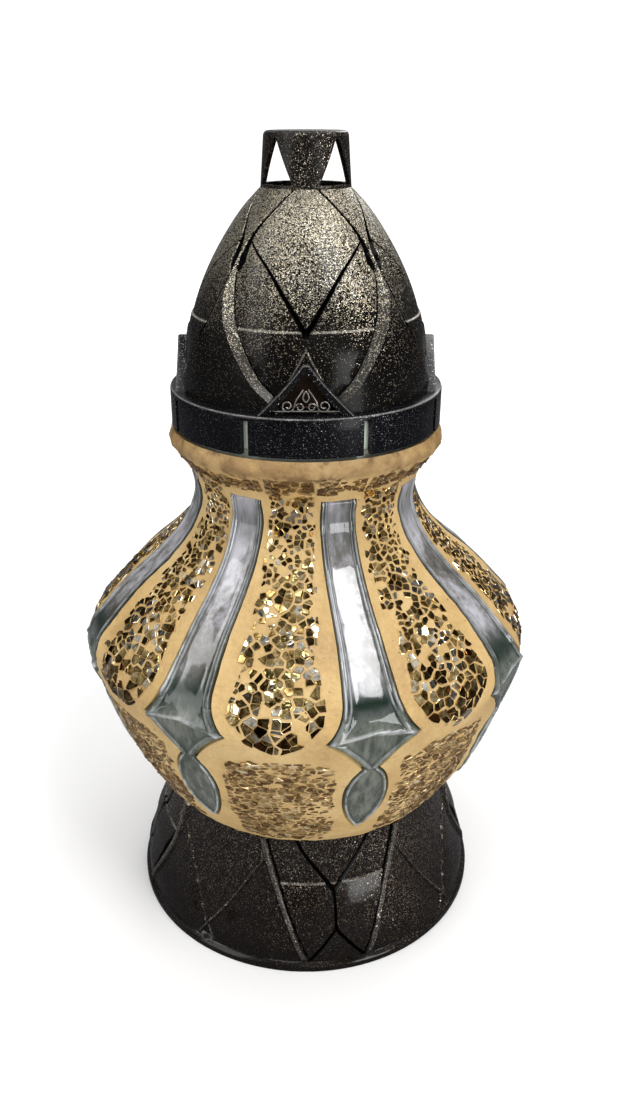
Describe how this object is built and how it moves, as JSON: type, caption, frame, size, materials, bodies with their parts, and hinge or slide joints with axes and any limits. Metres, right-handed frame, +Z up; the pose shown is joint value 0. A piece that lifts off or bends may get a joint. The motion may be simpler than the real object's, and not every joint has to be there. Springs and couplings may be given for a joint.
{
  "type": "mosaic glass candle lantern",
  "caption": "Free-standing candle lantern: mirror-mosaic glass jar with clear ribs on a flared pedestal, lift-off vented dome cap, lift-out candle insert.",
  "frame": {"origin": "on the ground under the middle of the pedestal", "axes": "+Z up along the lantern's axis, -Y towards the front"},
  "size_m": [0.1732, 0.1732, 0.3045],
  "materials": {
    "glitter_plastic": "black moulded plastic dusted with fine gold and silver glitter",
    "clear_glass": "thick pressed clear glass, faint grey-green",
    "grout": "matt cream-gold grout, hand smoothed",
    "mirror_shards": "broken gold mirror set in grout",
    "mirror_shards_lower": "smaller, duller bronze mirror shards set in grout",
    "vent_openwork": "dark bronze openwork",
    "shield_metal": "thin lacquered sheet metal",
    "cup_plastic": "translucent off-white moulded cup",
    "wax": "cream paraffin wax",
    "cotton": "braided cotton",
    "tin_plate": "tin-plated steel"
  },
  "bodies": {
    "lantern": {"base_pedestal": "glitter_plastic", "glass_jar": "clear_glass", "grout_lattice": "grout", "mirror_neck_band": "mirror_shards", "grout_collar": "grout", "mirror_upper_1": "mirror_shards", "mirror_lower_1": "mirror_shards_lower", "mirror_upper_2": "mirror_shards", "mirror_lower_2": "mirror_shards_lower", "mirror_upper_3": "mirror_shards", "mirror_lower_3": "mirror_shards_lower", "mirror_upper_4": "mirror_shards", "mirror_lower_4": "mirror_shards_lower", "mirror_upper_5": "mirror_shards", "mirror_lower_5": "mirror_shards_lower", "mirror_upper_6": "mirror_shards", "mirror_lower_6": "mirror_shards_lower", "mirror_upper_7": "mirror_shards", "mirror_lower_7": "mirror_shards_lower", "mirror_upper_8": "mirror_shards", "mirror_lower_8": "mirror_shards_lower"},
    "cap": {"cap_shell": "glitter_plastic", "vent_scroll_1": "vent_openwork", "vent_scroll_2": "vent_openwork", "vent_scroll_3": "vent_openwork", "vent_scroll_4": "vent_openwork", "heat_shield": "shield_metal"},
    "candle": {"candle_cup": "cup_plastic", "candle_wax": "wax", "wick": "cotton", "wick_foot": "tin_plate"}
  },
  "joints": [
    {"name": "cap_lift", "type": "slide", "parent": "lantern", "child": "cap", "axis": [0, 0, 1], "range_m": [0, 0.12]},
    {"name": "candle_lift", "type": "slide", "parent": "lantern", "child": "candle", "axis": [0, 0, 1], "range_m": [0, 0.085]}
  ]
}
